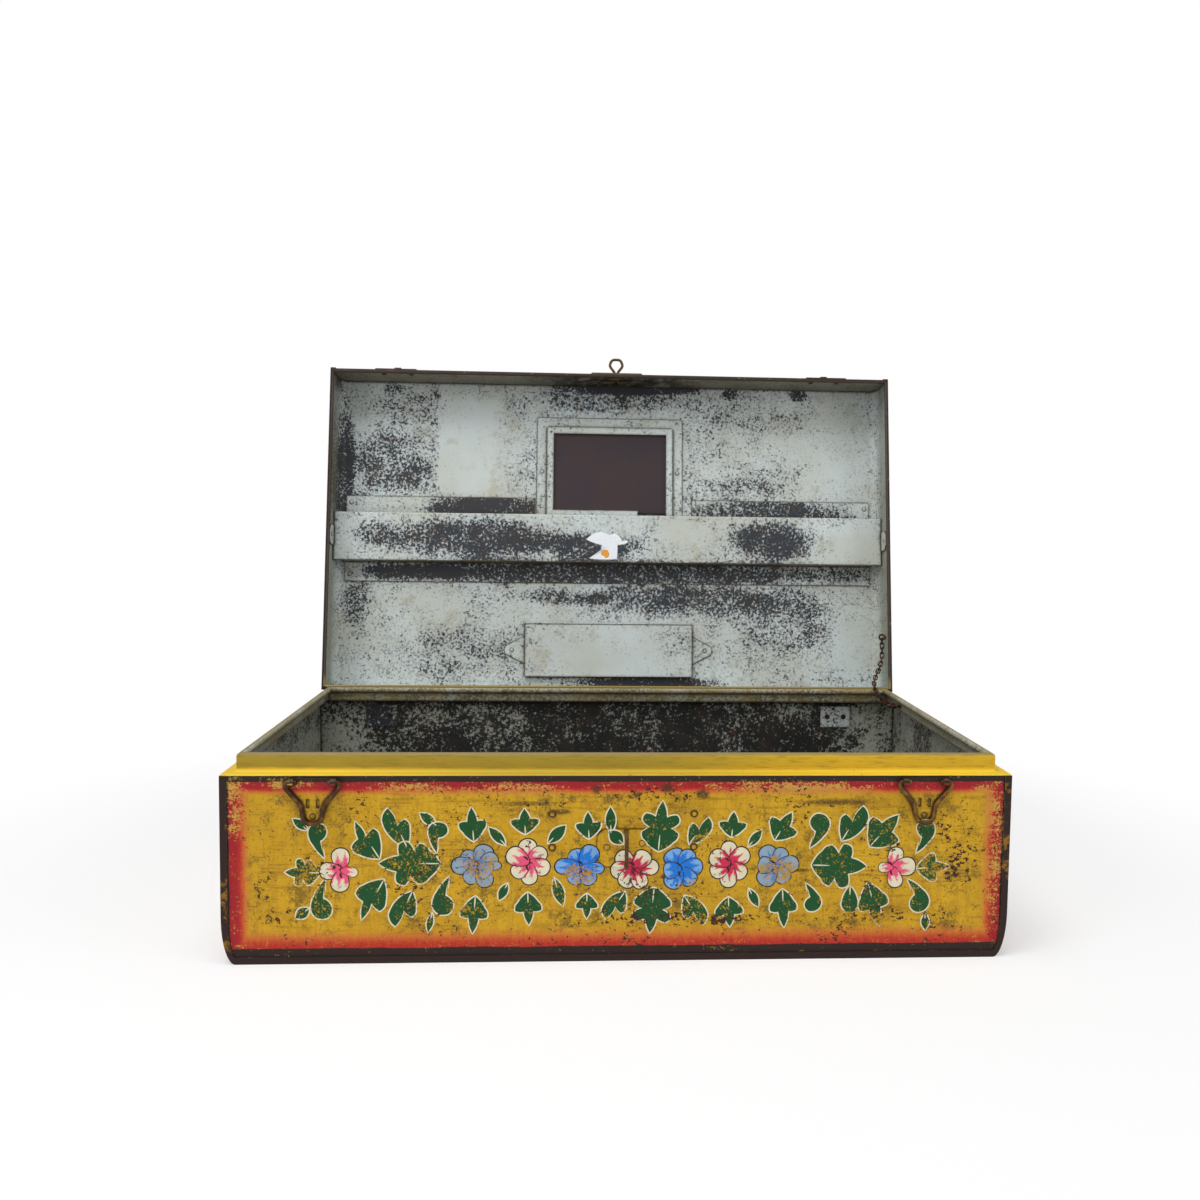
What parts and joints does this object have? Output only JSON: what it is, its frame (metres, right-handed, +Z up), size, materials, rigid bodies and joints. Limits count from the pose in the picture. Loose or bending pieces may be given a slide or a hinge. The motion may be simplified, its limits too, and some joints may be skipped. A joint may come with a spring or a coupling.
{
  "type": "trunk",
  "caption": "Small painted sheet-metal trunk with a hinged lid, side catches, a lock staple, and a mirror and letter pockets inside the lid.",
  "frame": {"origin": "centre of the trunk's underside, on the surface it stands on", "axes": "+X to the right seen from the painted front, +Y towards the hinges, +Z up"},
  "size_m": [0.458, 0.3553, 0.3864],
  "materials": {
    "painted_sheet": "worn ochre gloss paint with red and black borders and painted flowers",
    "worn_inner_paint": "thin grey-green paint worn through to dark sheet",
    "dark_steel": "dark, dull, lightly rusted",
    "rusty_wire": "rusted wire with pale worn spots",
    "tarnished_pane": "old looking-glass whose silvering has gone dark"
  },
  "bodies": {
    "tub": {"tub_wrapper": "painted_sheet", "tub_front_panel": "painted_sheet", "tub_rear_panel": "painted_sheet", "collar": "painted_sheet", "collar_wires": "dark_steel", "lock_plate": "painted_sheet", "lock_staple": "dark_steel", "lock_plate_rivets": "painted_sheet", "front_dome_rivets": "painted_sheet", "bail_plate_left": "painted_sheet", "bail_plate_right": "painted_sheet", "bail_plate_rivets": "painted_sheet", "hinge_tub_leaf_left": "dark_steel", "hinge_tub_leaf_right": "dark_steel", "hinge_pins": "dark_steel", "hinge_backing_plates": "dark_steel", "tub_hinge_rivets": "dark_steel", "tub_chain_eye": "rusty_wire", "stay_chain": "rusty_wire"},
    "lid": {"lid_wrapper": "worn_inner_paint", "lid_front_strip": "painted_sheet", "lid_rear_strip": "painted_sheet", "lid_hem_wires": "dark_steel", "hinge_lid_leaf_left": "dark_steel", "hinge_lid_leaf_right": "dark_steel", "lid_hinge_rivets": "dark_steel", "lid_eye_plate": "dark_steel", "split_pin_eye": "dark_steel", "catch_left": "dark_steel", "catch_right": "dark_steel", "catch_rivets": "dark_steel", "mirror_frame": "worn_inner_paint", "mirror_pane": "tarnished_pane", "mirror_frame_rivets": "worn_inner_paint", "long_pocket": "worn_inner_paint", "pocket_back_strips": "worn_inner_paint", "long_pocket_rivets": "worn_inner_paint", "card_pocket": "worn_inner_paint", "card_pocket_rivets": "worn_inner_paint", "lid_chain_eye": "rusty_wire"},
    "bail_left": {"bail_left": "dark_steel"},
    "bail_right": {"bail_right": "dark_steel"}
  },
  "joints": [
    {"name": "lid_hinge", "type": "hinge", "parent": "tub", "child": "lid", "pos_m": [0, 0.1345, 0.1114], "axis": [1, 0, 0], "range_deg": [0, 99.4], "deforming": ["stay_chain"]},
    {"name": "bail_left_swing", "type": "hinge", "parent": "tub", "child": "bail_left", "pos_m": [-0.1765, -0.1316, 0.106], "axis": [-1, 0, 0], "range_deg": [0, 180]},
    {"name": "bail_right_swing", "type": "hinge", "parent": "tub", "child": "bail_right", "pos_m": [0.1765, -0.1316, 0.106], "axis": [-1, 0, 0], "range_deg": [0, 180]}
  ]
}
